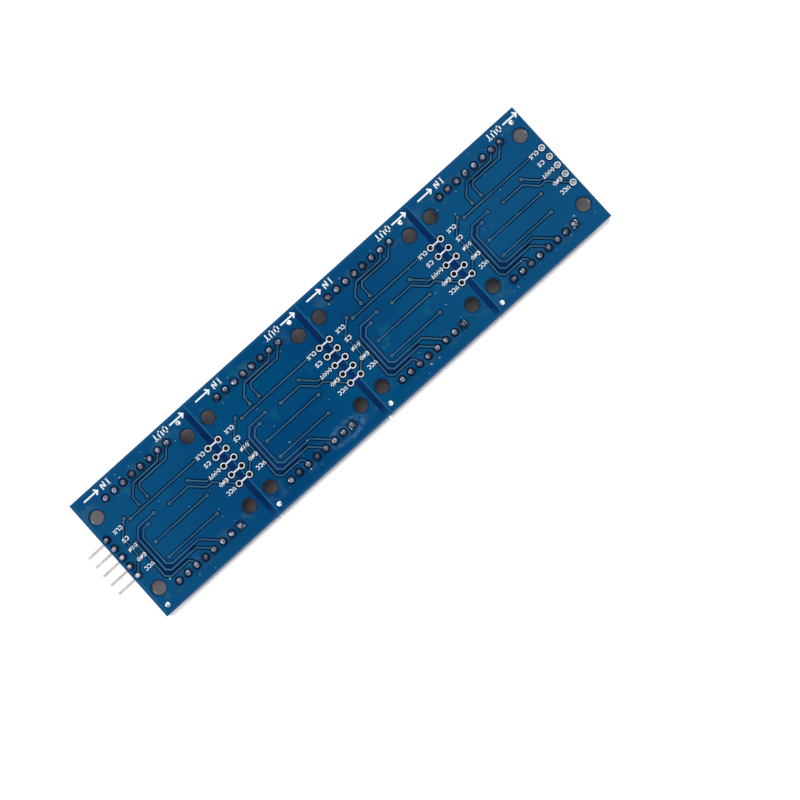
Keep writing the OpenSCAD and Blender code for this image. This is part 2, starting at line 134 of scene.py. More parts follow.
# Floor: a sheet of white paper under the displays' faces. It keeps a faint
# shadow of the module.
FLOOR_SIDE = 4
FLOOR_GAP = 0.05 * MM
floor_mesh = bmesh.new()
bmesh.ops.create_grid(floor_mesh, x_segments=1, y_segments=1, size=FLOOR_SIDE / 2,
                      matrix=Matrix.Translation((0, 0, cad_box[0].z - FLOOR_GAP)))
floor_data = bpy.data.meshes.new("floor")
floor_mesh.to_mesh(floor_data)
floor_mesh.free()
floor = bpy.data.objects.new("floor", floor_data)
scene.collection.objects.link(floor)
paper = bpy.data.materials.new("white_paper")
paper.use_nodes = True
paper_tree = paper.node_tree
paper_tree.nodes.clear()
paper_light = add_node(paper_tree, "BsdfDiffuse", {"Color": (0.88, 0.88, 0.88, 1)})
paper_shade = add_node(paper_tree, "BsdfDiffuse", {"Color": (0.2, 0.2, 0.2, 1)})
paper_glow = add_node(paper_tree, "Emission", {"Color": (1, 1, 1, 1), "Strength": 0.88})
paper_seen = add_node(paper_tree, "AddShader", {0: paper_shade.outputs[0], 1: paper_glow.outputs[0]})
paper_mix = add_node(paper_tree, "MixShader", {0: seen_directly(paper_tree), 1: paper_light.outputs[0],
                                               2: paper_seen.outputs[0]})
add_node(paper_tree, "OutputMaterial", {"Surface": paper_mix.outputs[0]})
floor_data.materials.append(paper)


# Laminate: one long board of glass cloth and resin. Blue solder mask covers
# both sides, darkest where it pools in the narrow gaps between the copper. The
# cut core shows its layers along the edges and in the drilled holes; it is
# painted a dark blue-grey as painted shade, though its glass and resin are paler.
MASK_T = 0.03 * MM
BOARD_T = 1.6 * MM
SEGMENT_PITCH = 32.46 * MM
BOARD_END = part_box("circuit_board")[1].x
BOARD_HALF_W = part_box("circuit_board")[1].y
# Strip along the board's ends and sides with no copper under its mask
MARGIN = 0.65 * MM
# Distance from a segment's middle past which the board is bare up to the seam
SEAM_FROM = 15.3 * MM
# Distances from the board's long middle line between which bare mask turns paler
EDGE_START = 13.2 * MM
EDGE_FULL = 17.2 * MM
# Mounting holes from each segment's middle, and the ring round them where the
# bare mask is painted paler, a painted light as if lit through the holes' cut edges
HOLE_AT = (13.175 * MM, 10.15 * MM)
PAINTED_LIGHT_RIM = 1.9 * MM
# Where the tracks run side by side in one bundle, from each segment's middle
BUS_MIDDLE = (-6.4 * MM, -2.9 * MM)
BUS_HALF = (3.6 * MM, 6.6 * MM)
# How finely the layers of glass lie in the cut core
WEAVE_SCALE = 1400.0


def paint(red, green, blue):
    """The linear colour of an everyday 0 to 255 one."""
    return (*[(c / 255 / 12.92) if c <= 10 else ((c / 255 + 0.055) / 1.055) ** 2.4
              for c in (red, green, blue)], 1)


def plain_finish(name, **sockets):
    """A material with a Principled shader and its plain values."""
    material = bpy.data.materials.new(name)
    material.use_nodes = True
    shader = material.node_tree.nodes["Principled BSDF"]
    for socket, value in sockets.items():
        shader.inputs[socket.replace("_", " ")].default_value = value
    return material, material.node_tree, shader


def new_group(name, inputs, outputs):
    """An empty shader group with float, colour or vector sockets."""
    group = bpy.data.node_groups.new(name, "ShaderNodeTree")
    for socket, kind, value in inputs:
        made = group.interface.new_socket(socket, in_out="INPUT", socket_type="NodeSocket" + kind)
        made.default_value = value
    for socket, kind in outputs:
        group.interface.new_socket(socket, in_out="OUTPUT", socket_type="NodeSocket" + kind)
    return group, group.nodes.new("NodeGroupInput"), group.nodes.new("NodeGroupOutput")


# cloudy patches that fade from 0 to 1
cloud_group, cloud_in, cloud_out = new_group(
    "cloudy_patches",
    [("Scale", "Float", 60.0), ("Detail", "Float", 2.0), ("Low", "Float", 0.4), ("High", "Float", 0.6)],
    [("Mask", "Float")])
cloud_place = add_node(cloud_group, "TexCoord")
cloud_noise = add_node(cloud_group, "TexNoise", {
    "Vector": cloud_place.outputs["Object"], "Scale": cloud_in.outputs["Scale"],
    "Detail": cloud_in.outputs["Detail"]})
cloud_range = add_node(cloud_group, "MapRange", {
    "Value": cloud_noise.outputs["Fac"], "From Min": cloud_in.outputs["Low"],
    "From Max": cloud_in.outputs["High"]})
cloud_group.links.new(cloud_range.outputs[0], cloud_out.inputs["Mask"])

# height of a fine grain for a Bump node
grain_group, grain_in, grain_out = new_group(
    "fine_grain", [("Scale", "Float", 2000.0), ("Stretch", "Vector", (1, 1, 1))], [("Height", "Float")])
grain_place = add_node(grain_group, "TexCoord")
grain_stretch = add_node(grain_group, "VectorMath", {
    0: grain_place.outputs["Object"], 1: grain_in.outputs["Stretch"]}, operation="MULTIPLY")
grain_noise = add_node(grain_group, "TexNoise", {
    "Vector": grain_stretch.outputs[0], "Scale": grain_in.outputs["Scale"], "Detail": 3.0})
grain_group.links.new(grain_noise.outputs["Fac"], grain_out.inputs["Height"])


def with_group(tree, group, **inputs):
    """One of the shared groups, placed in a material with its own values."""
    node = tree.nodes.new("ShaderNodeGroup")
    node.node_tree = group
    for socket, value in inputs.items():
        node.inputs[socket].default_value = value
    return node.outputs[0]


def mix_colours(tree, mask, under, over):
    """Under where the mask is 0, over where it is 1."""
    return add_node(tree, "Mix", {0: mask, 6: under, 7: over}, data_type="RGBA").outputs[2]


def cloudy(tree, dark, light, scale, low=0.35, high=0.65, detail=2.0):
    """Two colours in cloudy patches."""
    mask = with_group(tree, cloud_group, Scale=scale, Detail=detail, Low=low, High=high)
    return mix_colours(tree, mask, dark, light)


def fade(tree, value, start, end, strength=1.0):
    """A mask that grows from nought at the start to its full strength at the end."""
    ramp = add_node(tree, "MapRange", {"Value": value, "From Min": start, "From Max": end,
                                       "To Max": strength})
    return ramp.outputs[0]


def on_piece(tree):
    """The three Object coordinates."""
    return add_node(tree, "SeparateXYZ", {0: add_node(tree, "TexCoord").outputs["Object"]}).outputs


def on_segment(tree, x):
    """How far along its own display's segment a place is, from the middle of that segment."""
    shifted = maths(tree, "SUBTRACT", x, SEGMENT_PITCH / 2)
    return maths(tree, "WRAP", shifted, SEGMENT_PITCH / 2, -SEGMENT_PITCH / 2)


def height_mask(tree, low, high):
    """One between two heights above the solder side, and nought elsewhere."""
    height = on_piece(tree)[2]
    above = maths(tree, "GREATER_THAN", height, low)
    below = maths(tree, "LESS_THAN", height, high)
    return maths(tree, "MULTIPLY", above, below)


def roughen(tree, shader, scale, strength, depth, stretch=(1, 1, 1)):
    """A fine grain in the surface."""
    grain = with_group(tree, grain_group, Scale=scale, Stretch=stretch)
    bump = add_node(tree, "Bump", {"Height": grain, "Strength": strength, "Distance": depth})
    tree.links.new(bump.outputs[0], shader.inputs["Normal"])


def dress(material, *nodes):
    """Gives CAD nodes a finish."""
    for name in nodes:
        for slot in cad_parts[name].material_slots:
            slot.material = material


laminate, tree, shader = plain_finish("masked_laminate", Specular_IOR_Level=0.04, Roughness=0.3)
x, y = on_piece(tree)[:2]
local = on_segment(tree, x)
off_middle = maths(tree, "ABSOLUTE", local)
off_axis = maths(tree, "ABSOLUTE", y)
in_seam = maths(tree, "GREATER_THAN", off_middle, SEAM_FROM)
in_side = maths(tree, "GREATER_THAN", off_axis, BOARD_HALF_W - MARGIN)
in_end = maths(tree, "GREATER_THAN", maths(tree, "ABSOLUTE", x), BOARD_END - MARGIN)
bus_along = maths(tree, "COMPARE", local, BUS_MIDDLE[0], BUS_HALF[0])
bus_across = maths(tree, "COMPARE", y, BUS_MIDDLE[1], BUS_HALF[1])
in_bus = maths(tree, "MULTIPLY", bus_along, bus_across)
in_rim = maths(tree, "MAXIMUM", in_side, in_end)
near_edge = maths(tree, "MAXIMUM", fade(tree, off_axis, EDGE_START, EDGE_FULL), in_rim)
wide = mix_colours(tree, near_edge, cloudy(tree, paint(0, 34, 78), paint(6, 47, 95), 90.0),
                   paint(20, 80, 126))
in_corner = add_node(tree, "CombineXYZ", {0: off_middle, 1: off_axis})
from_hole = add_node(tree, "VectorMath", {0: in_corner.outputs[0], 1: (*HOLE_AT, 0)},
                     operation="DISTANCE")
# painted light: the bare mask round each mounting hole is painted paler
painted_light_rim_mask = maths(tree, "LESS_THAN", from_hole.outputs["Value"], PAINTED_LIGHT_RIM)
narrow = mix_colours(tree, painted_light_rim_mask, paint(0, 20, 52), paint(12, 50, 84))
in_wide = maths(tree, "MAXIMUM", maths(tree, "MAXIMUM", in_seam, in_side), in_bus)
bare = mix_colours(tree, in_wide, narrow, wide)
weave = add_node(tree, "TexWave", {"Vector": add_node(tree, "TexCoord").outputs["Object"],
                                   "Scale": WEAVE_SCALE, "Distortion": 1.5},
                 wave_type="BANDS", bands_direction="Z")
# painted shade: the cut core is painted dark blue-grey, though its glass and resin are paler
core_painted_shade = mix_colours(tree, weave.outputs["Fac"], paint(36, 62, 88), paint(64, 88, 106))
in_core = height_mask(tree, MASK_T - BOARD_T, -MASK_T)
tree.links.new(mix_colours(tree, in_core, bare, core_painted_shade), shader.inputs["Base Color"])
roughen(tree, shader, 900.0, 0.15, 0.02 * MM)
dress(laminate, "circuit_board")


# Copper: one wide sheet under each display, left out round the tracks and
# pads. The blue mask over it is thin and clear, so the copper lightens it, and
# it lies in soft cloudy patches with a few specks of dust. Painted light makes
# it paler toward the board's ends, and a painted highlight runs along each
# sheet's input side.

# Place along the board where the painted light is weakest, and the distances
# from there between which painted light makes the mask paler
LEAST_PAINTED_LIGHT_X = -12 * MM
PAINTED_LIGHT_START = 12 * MM
PAINTED_LIGHT_FULL = 60 * MM
# Middle and half width of a painted highlight: a paler line along each sheet's
# input side, where the edge of the copper would catch the light
PAINTED_HIGHLIGHT_X = -15.45 * MM
PAINTED_HIGHLIGHT_HALF = 0.15 * MM
# Place of the two rows of joints across the board, and the distances from them
# between which patches of dried flux fade in
ROW_Y = 12.065 * MM
FLUX_START = 2.2 * MM
FLUX_FULL = 0.9 * MM
# A wash of flux dried to an oval ring round the last joints of one row: its
# middle, the scale that makes the ring a circle, and that circle's radius. The
# flux fades in between the last two distances from the circle
WASH_AT = (-9.2 * MM, -12.3 * MM, 0)
WASH_SCALE = (172, 400, 0)
WASH_RADIUS = 0.72
WASH_START = 0.26
WASH_FULL = 0.04

# scattered dust: a share of the cells of a grid carries one round speck each
dust_group, dust_in, dust_out = new_group(
    "scattered_dust",
    [("Scale", "Float", 300.0), ("Size", "Float", 0.08), ("Share", "Float", 0.2)],
    [("Mask", "Float")])
dust_place = add_node(dust_group, "TexCoord")
dust_cells = add_node(dust_group, "TexVoronoi", {
    "Vector": dust_place.outputs["Object"], "Scale": dust_in.outputs["Scale"]}, voronoi_dimensions="2D")
dust_half = maths(dust_group, "MULTIPLY", dust_in.outputs["Size"], 0.4)
dust_round = fade(dust_group, dust_cells.outputs["Distance"], dust_in.outputs["Size"], dust_half)
dust_pick = add_node(dust_group, "SeparateColor", {0: dust_cells.outputs["Color"]})
dust_kept = maths(dust_group, "LESS_THAN", dust_pick.outputs[0], dust_in.outputs["Share"])
dust_mask = maths(dust_group, "MULTIPLY", dust_round, dust_kept)
dust_group.links.new(dust_mask, dust_out.inputs["Mask"])


def vary(tree, socket, mask, low, high):
    """A plain value that moves between two values with a mask."""
    ramp = add_node(tree, "MapRange", {"Value": mask, "To Min": low, "To Max": high})
    tree.links.new(ramp.outputs[0], socket)


masked, tree, shader = plain_finish("masked_copper", Specular_IOR_Level=0.03, Roughness=0.26)
x, y = on_piece(tree)[:2]
deep = cloudy(tree, paint(0, 64, 112), paint(0, 75, 119), 42.0, high=0.68)
# painted light: the mask is painted paler toward the board's ends
from_least_painted_light = maths(tree, "ABSOLUTE", maths(tree, "SUBTRACT", x, LEAST_PAINTED_LIGHT_X))
painted_light_toward_ends = fade(tree, from_least_painted_light, PAINTED_LIGHT_START, PAINTED_LIGHT_FULL, 0.75)
painted_lit = mix_colours(tree, painted_light_toward_ends, deep, paint(16, 81, 125))
# painted highlight: a paler line along the input side of each sheet
painted_edge_highlight = maths(tree, "COMPARE", on_segment(tree, x), PAINTED_HIGHLIGHT_X, PAINTED_HIGHLIGHT_HALF)
painted_lit = mix_colours(tree, painted_edge_highlight, painted_lit, paint(28, 95, 138))
green = cloudy(tree, painted_lit, paint(16, 92, 124), 130.0, 0.62, 0.75, 3.0)
off_row = maths(tree, "SUBTRACT", maths(tree, "ABSOLUTE", y), ROW_Y)
flux_band = fade(tree, maths(tree, "ABSOLUTE", off_row), FLUX_START, FLUX_FULL, 0.6)
flux_patches = with_group(tree, cloud_group, Scale=260.0, Detail=2.0, Low=0.5, High=0.66)
hazy = mix_colours(tree, maths(tree, "MULTIPLY", flux_band, flux_patches), green, paint(48, 92, 122))
place = add_node(tree, "TexCoord")
from_wash = add_node(tree, "VectorMath", {0: place.outputs["Object"], 1: WASH_AT}, operation="SUBTRACT")
wash_shape = add_node(tree, "VectorMath", {0: from_wash.outputs[0], 1: WASH_SCALE},
                      operation="MULTIPLY")
wash_reach = add_node(tree, "VectorMath", {0: wash_shape.outputs[0]}, operation="LENGTH")
from_ring = maths(tree, "ABSOLUTE", maths(tree, "SUBTRACT", wash_reach.outputs["Value"], WASH_RADIUS))
wash_ring = fade(tree, from_ring, WASH_START, WASH_FULL, 0.6)
wash_patches = with_group(tree, cloud_group, Scale=1100.0, Detail=3.0, Low=0.38, High=0.66)
hazy = mix_colours(tree, maths(tree, "MULTIPLY", wash_ring, wash_patches), hazy, paint(84, 128, 168))
specks = with_group(tree, dust_group, Scale=240.0, Size=0.04, Share=0.22)
tree.links.new(mix_colours(tree, specks, hazy, paint(104, 150, 180)), shader.inputs["Base Color"])
vary(tree, shader.inputs["Roughness"], with_group(tree, cloud_group, Scale=200.0), 0.2, 0.34)
roughen(tree, shader, 700.0, 0.12, 0.03 * MM)
dress(masked, "ground_plane")


# Tracks: narrow copper lines under the same mask. The mask runs thin over
# their edges, so they look greyer than the wide copper.
def cloudy_finish(name, dark, light, scale, low=0.35, high=0.65, detail=2.0, **sockets):
    """A plain finish whose colour lies in cloudy patches."""
    material, tree, shader = plain_finish(name, **sockets)
    tree.links.new(cloudy(tree, dark, light, scale, low, high, detail), shader.inputs["Base Color"])
    return material, tree, shader


track_finish, tree, shader = cloudy_finish("masked_tracks", paint(38, 88, 118), paint(56, 104, 134), 150.0,
                                           high=0.7, Specular_IOR_Level=0.08, Roughness=0.3)
roughen(tree, shader, 2500.0, 0.2, 0.01 * MM)
dress(track_finish, "signal_tracks")


# Vias: each is a drilled and plated hole, closed by the mask, which sinks a
# little in the middle and stands as a paler ring round it.
COPPER_T = 0.05 * MM
VIA_RING = 0.375 * MM
VIA_DIP = 0.21 * MM
VIA_RISE = 0.03 * MM
VIA_SINK = 0.01 * MM
VIA_SIDES = 20
# Places from the middle of each segment, in millimetres
VIAS = [
    (-4.45, 6.25), (-1.9, 6.25), (-7.9, 5.08), (-8.9, 6.08), (-10.4, 0.5), (-3.2, 2.6), (-5.75, 1.6),
    (-7.1, -2.3), (7.9, -2.3), (-7.1, -6.7), (6.9, -6.7), (0.6, 1.85), (6.8, 3.0)
]
# Numbers of the displays, from the input end
DISPLAYS = range(1, 5)
MIDDLE_DISPLAY = (DISPLAYS[0] + DISPLAYS[-1]) / 2


def centre_x(display):
    """Middle of one display along the board."""
    return (display - MIDDLE_DISPLAY) * SEGMENT_PITCH


def fit_piece(name, mesh_work, material, replaced=(), sharp_angle=35):
    """Makes a finished piece of a bmesh: smooth but for its sharp edges, and fixed to the board."""
    for face in mesh_work.faces:
        face.smooth = True
    for edge in mesh_work.edges:
        if edge.is_manifold and edge.calc_face_angle() > math.radians(sharp_angle):
            edge.smooth = False
    data = bpy.data.meshes.new(name)
    mesh_work.to_mesh(data)
    mesh_work.free()
    data.materials.append(material)
    piece = bpy.data.objects.new(name, data)
    scene.collection.objects.link(piece)
    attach(piece, "root")
    if replaced:
        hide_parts(*replaced)
    return piece


via_finish, tree, shader = cloudy_finish("tented_via", paint(60, 100, 118), paint(88, 120, 128), 400.0,
                                         0.3, 0.7, 1.0, Specular_IOR_Level=0.3, Roughness=0.25)
dip_finish, tree, shader = cloudy_finish("sunken_mask", paint(18, 56, 84), paint(36, 80, 106), 400.0,
                                         0.3, 0.7, 1.0, Specular_IOR_Level=0.2, Roughness=0.3)
for display in DISPLAYS:
    rings = bmesh.new()
    for x, y in VIAS:
        at = Matrix.Translation((centre_x(display) + x * MM, y * MM, COPPER_T))
        disc = bmesh.ops.create_circle(rings, cap_ends=True, segments=VIA_SIDES, radius=VIA_RING, matrix=at)
        face = disc["verts"][0].link_faces[0]
        lifted = bmesh.ops.extrude_face_region(rings, geom=[face])["geom"]
        top = [part for part in lifted if isinstance(part, bmesh.types.BMFace)]
        bmesh.ops.translate(rings, vec=(0, 0, VIA_RISE), verts=top[0].verts)
        bmesh.ops.inset_region(rings, faces=top, thickness=VIA_RING - VIA_DIP, depth=-VIA_SINK)
        top[0].material_index = 1
    bmesh.ops.recalc_face_normals(rings, faces=rings.faces)
    tents = fit_piece(f"via_tents_{display}", rings, via_finish)
    tents.data.materials.append(dip_finish)


# Bare pads: copper rings dipped in tin by hot air, so they stay bright and a
# little uneven. The pads at each seam and at the output end are made the same
# way. The round marks are crowned, and their tin is painted in dark and bright
# patches as painted reflections.
tin, tree, shader = cloudy_finish("hot_air_tin", paint(196, 203, 214), paint(232, 237, 244), 900.0,
                                  Metallic=0.55, Roughness=0.38)
vary(tree, shader.inputs["Roughness"], with_group(tree, cloud_group, Scale=1500.0), 0.3, 0.5)
roughen(tree, shader, 1600.0, 0.3, 0.03 * MM)
dress(tin, "solder_pads", "link_pads", "output_pads")
# painted reflections: the crowned marks are painted in dark and bright patches
crowned_tin_painted_reflections, tree, shader = cloudy_finish("crowned_tin_painted_reflections", paint(104, 108, 116), paint(246, 249, 253), 1400.0,
                                          0.37, 0.53, 1.0, Metallic=0.75, Roughness=0.3)
dress(crowned_tin_painted_reflections, "tinned_spots")


# Plated walls: thin tubes of tinned copper line the open holes through the
# laminate, at the pads of each seam and of the output end. Their tin is painted
# nearly black as painted shade inside the holes.
WALL_OUT = 0.525 * MM
WALL_IN = 0.5 * MM
WALL_SIDES = 20
PIN_PITCH = 2.54 * MM
# How far a segment's end pads are from its middle, and their numbers across it
LINK_X = 14.755 * MM
WAYS = range(-2, 3)
# painted shade: the tin inside the holes is painted nearly black
wall_painted_shade, tree, shader = cloudy_finish("plated_wall", paint(34, 32, 36), paint(62, 58, 62), 1200.0,
                                          0.3, 0.7, Metallic=0.8, Roughness=0.45)
end_columns = [centre_x(n) + side * LINK_X for n in DISPLAYS for side in (-1, 1)]
# the header's pins close the first column
open_columns = end_columns[1:]
walls = bmesh.new()
for x in open_columns:
    for way in WAYS:
        foot = Matrix.Translation((x, way * PIN_PITCH, -BOARD_T))
        rims = [bmesh.ops.create_circle(walls, segments=WALL_SIDES, radius=radius, matrix=foot)["verts"]
                for radius in (WALL_OUT, WALL_IN)]
        loops = {edge for rim in rims for vert in rim for edge in vert.link_edges}
        ring = bmesh.ops.bridge_loops(walls, edges=list(loops))["faces"]
        lifted = bmesh.ops.extrude_face_region(walls, geom=ring)["geom"]
        top = [part for part in lifted if isinstance(part, bmesh.types.BMVert)]
        bmesh.ops.translate(walls, vec=(0, 0, BOARD_T + COPPER_T), verts=top)
bmesh.ops.recalc_face_normals(walls, faces=walls.faces)
fit_piece("plated_walls", walls, wall_painted_shade)


# Printing: white ink, a little thicker than the mask, laid with a round pen.
# Arrows show which way the data runs, and short words name the pads. They read
# from the output end, upside down to the arrows' side.
INK_TOP = 0.08 * MM
PEN_SIDES = 10
ink, tree, shader = cloudy_finish("white_ink", paint(246, 249, 252), paint(253, 254, 255), 1800.0,
                                  0.3, 0.6, 3.0, Specular_IOR_Level=0.3, Roughness=0.6)
roughen(tree, shader, 4000.0, 0.3, 0.01 * MM)
dress(ink, "direction_arrows")

# Strokes of each letter on a field 6 high and 4 wide
GLYPH_H = 6
GLYPHS = {
    "C": [[(4, 6), (0, 6), (0, 0), (4, 0)]],
    "D": [[(0, 0), (0, 6), (3.3, 6), (4, 5.3), (4, 0.7), (3.3, 0), (0, 0)]],
    "G": [[(4, 6), (0, 6), (0, 0), (4, 0), (4, 2.8), (2.4, 2.8)]],
    "I": [[(0, 6), (1.2, 6)], [(0.6, 6), (0.6, 0)], [(0, 0), (1.2, 0)]],
    "K": [[(0, 6), (0, 0)], [(4, 6), (0, 2.4)], [(1.4, 3.6), (4, 0)]],
    "L": [[(0, 6), (0, 0), (4, 0)]],
    "N": [[(0, 0), (0, 6), (4, 0), (4, 6)]],
    "O": [[(0.6, 0), (0, 0.6), (0, 5.4), (0.6, 6), (3.4, 6), (4, 5.4), (4, 0.6), (3.4, 0), (0.6, 0)]],
    "S": [[(4, 6), (0, 6), (0, 3), (4, 3), (4, 0), (0, 0)]],
    "T": [[(0, 6), (3.2, 6)], [(1.6, 6), (1.6, 0)]],
    "U": [[(0, 6), (0, 0.6), (0.6, 0), (3.4, 0), (4, 0.6), (4, 6)]],
    "V": [[(0, 6), (0, 2.4), (2, 0), (4, 2.4), (4, 6)]]
}
# Gaps between letters on that field, the wider one beside the narrow letter I
LETTER_GAP = 3.0
THIN_LETTER_GAP = 4.0
# Word, its ends along and across the board from the middle of each segment, and
# the width of the pen, in millimetres
WORDS = [
    ("IN", (-8.1, -5.85), (13.65, 15.3), 0.28),
    ("OUT", (7.3, 11.15), (13.65, 15.25), 0.28),
    ("CLK", (-12.65, -10.4), (4.65, 5.6), 0.19),
    ("CS", (-12.4, -10.85), (2.0, 2.95), 0.19),
    ("DIN", (-12.7, -10.5), (-0.4, 0.55), 0.19),
    ("GND", (-12.7, -10.35), (-3.15, -2.2), 0.19),
    ("VCC", (-12.7, -10.35), (-5.75, -4.8), 0.19),
    ("CLK", (11.3, 13.55), (4.55, 5.5), 0.19),
    ("CS", (11.55, 13.15), (2.1, 3.05), 0.19),
    ("DOUT", (10.6, 13.65), (-0.45, 0.5), 0.19),
    ("GND", (11.25, 13.55), (-3.15, -2.2), 0.19),
    ("VCC", (11.25, 13.55), (-5.65, -4.7), 0.19)
]


def draw_stroke(sheet, ends, pen):
    """One straight stroke: the hull of two round nibs, as thick as the ink."""
    corners = []
    for x, y in ends:
        for z in (COPPER_T, INK_TOP):
            at = Matrix.Translation((x * MM, y * MM, z))
            nib = bmesh.ops.create_circle(sheet, segments=PEN_SIDES, radius=pen * MM / 2, matrix=at)
            corners += nib["verts"]
    hull = bmesh.ops.convex_hull(sheet, input=corners)
    spare = {part for key in ("geom_interior", "geom_unused") for part in hull[key]
             if isinstance(part, bmesh.types.BMVert)}
    bmesh.ops.delete(sheet, geom=list(spare), context="VERTS")


def draw_word(sheet, word, along, across, pen):
    """Fills a field with a word that starts at the far end and hangs from the near edge."""
    widths = [max(x for stroke in GLYPHS[letter] for x, y in stroke) for letter in word]
    gaps = [THIN_LETTER_GAP if "I" in pair else LETTER_GAP for pair in zip(word, word[1:])] + [0]
    scale_x = (along[1] - along[0] - pen) / (sum(widths) + sum(gaps))
    scale_y = (across[1] - across[0] - pen) / GLYPH_H
    start = along[1] - pen / 2
    for letter, width, gap in zip(word, widths, gaps):
        for stroke in GLYPHS[letter]:
            points = [(start - x * scale_x, across[1] - pen / 2 - y * scale_y) for x, y in stroke]
            for ends in zip(points, points[1:]):
                draw_stroke(sheet, ends, pen)
        start -= (width + gap) * scale_x


legend = bmesh.new()
for word, along, across, pen in WORDS:
    draw_word(legend, word, along, across, pen)
bmesh.ops.recalc_face_normals(legend, faces=legend.faces)
for display in DISPLAYS:
    copy = legend.copy()
    bmesh.ops.translate(copy, vec=(centre_x(display), 0, 0), verts=copy.verts)
    fit_piece(f"legend_{display}", copy, ink)
legend.free()


# Solder joints: each pin's tail stands in a cone of solder that wets its pad.
# The cones are drawn up by hand and iron, so no two lean or shine alike.
ROW_PINS = 8
JOINT_BASE = 0.79 * MM
JOINT_FOOT = 0.02 * MM
# Radius as a share of the base, and height in millimetres, from rim to tip
JOINT_PROFILE = [
    (1.0, 0.0), (0.95, 0.12), (0.89, 0.27), (0.83, 0.43), (0.77, 0.58), (0.69, 0.73), (0.59, 0.86),
    (0.46, 0.96), (0.26, 1.02), (0.0, 1.04)
]
JOINT_STEPS = 28
MERGE_GAP = 0.002 * MM
# Least and most of the profile's height that a joint has, and how much joints
# lean and swell
HEIGHTS = (0.88, 1.1)
LEAN = 0.1
SWELL = 0.06
# How fast a square foot turns round, and a round one uneven, for each
# millimetre of height
SQUARE_FADE = 1.6
ROUND_FADE = 3
# Edges of solder are sharp past this angle, in degrees
SOLDER_EDGE = 70
# Height at which a joint has lost its painted reflection: its foot is painted
# the blue of the board that it would mirror
CROWN_FROM = 0.5 * MM
# painted reflections: the solder is painted dark grey with bright patches on its crown, and blue at its
# foot
solder, tree, shader = plain_finish("solder", Metallic=0.85, Roughness=0.25)
crown_painted_reflections = cloudy(tree, paint(64, 70, 86), paint(164, 172, 192), 420.0)
above_foot = fade(tree, on_piece(tree)[2], COPPER_T, CROWN_FROM)
tree.links.new(mix_colours(tree, above_foot, paint(100, 118, 140), crown_painted_reflections), shader.inputs["Base Color"])
vary(tree, shader.inputs["Roughness"], with_group(tree, cloud_group, Scale=1100.0), 0.18, 0.34)
roughen(tree, shader, 900.0, 0.12, 0.04 * MM)


def draw_joint(work, x, y, chance, square=False):
    """One joint on a pad, with its own lean, height and lumps."""
    height = chance.uniform(*HEIGHTS)
    profile = [work.verts.new((share * JOINT_BASE, 0, JOINT_FOOT + rise * height * MM))
               for share, rise in JOINT_PROFILE]
    profile.insert(0, work.verts.new((0, 0, JOINT_FOOT)))
    edges = [work.edges.new(pair) for pair in zip(profile, profile[1:])]
    bmesh.ops.spin(work, geom=profile + edges, cent=(0, 0, 0), axis=(0, 0, 1), dvec=(0, 0, 0),
                   angle=math.tau, steps=JOINT_STEPS, use_merge=True)
    bmesh.ops.remove_doubles(work, verts=[v for v in work.verts if not v.tag], dist=MERGE_GAP)
    made = [v for v in work.verts if not v.tag]
    lean = Vector((chance.gauss(0, LEAN), chance.gauss(0, LEAN), 0))
    swell = [chance.gauss(0, SWELL) for _ in range(4)]
    for vert in made:
        up = (vert.co.z - JOINT_FOOT) / MM
        turn = math.atan2(vert.co.y, vert.co.x)
        lump = 1 + swell[0] * math.cos(turn) + swell[1] * math.sin(turn)
        lump += swell[2] * math.cos(2 * turn) + swell[3] * math.sin(2 * turn)
        if square:
            corner = 1 / max(abs(math.cos(turn)), abs(math.sin(turn)))
            lump *= 1 + (corner - 1) * max(0, 1 - up * SQUARE_FADE)
        else:
            lump = 1 + (lump - 1) * min(1, up * ROUND_FADE)
        vert.co.x *= lump
        vert.co.y *= lump
        vert.co += lean * up * MM
        vert.co += Vector((x, y, 0))
        vert.tag = True


# one seeded source of chance serves the joints and then the beads
chance = random.Random(7)
for display in DISPLAYS:
    joints = bmesh.new()
    for side in (-1, 1):
        for pin in range(ROW_PINS):
            along = (pin - (ROW_PINS - 1) / 2) * PIN_PITCH
            on_square_pad = side == -1 and pin == ROW_PINS - 1
            draw_joint(joints, centre_x(display) + along, side * ROW_Y, chance, on_square_pad)
    bmesh.ops.recalc_face_normals(joints, faces=joints.faces)
    fit_piece(f"wetted_joints_{display}", joints, solder, [f"socket_joints_{display}"],
              SOLDER_EDGE)
joints = bmesh.new()
for way in WAYS:
    draw_joint(joints, centre_x(1) - LINK_X, way * PIN_PITCH, chance)
bmesh.ops.recalc_face_normals(joints, faces=joints.faces)
fit_piece("wetted_header_joints", joints, solder, ["header_joints"], SOLDER_EDGE)


# Solder beads: small drops and flux splashes that the iron left on the mask
# near the joints. No two boards have them in the same places.
BEADS = 56
BEAD_SIZES = (0.07, 0.2)
# Reach to each side of a segment's middle, distances from a row of joints for
# two beads in three, and reach across the board for the third, in millimetres
BEAD_ALONG = 10.6
BEAD_OFF_ROW = (1.1, 2.4)
BEAD_ACROSS = (-14.5, 13)
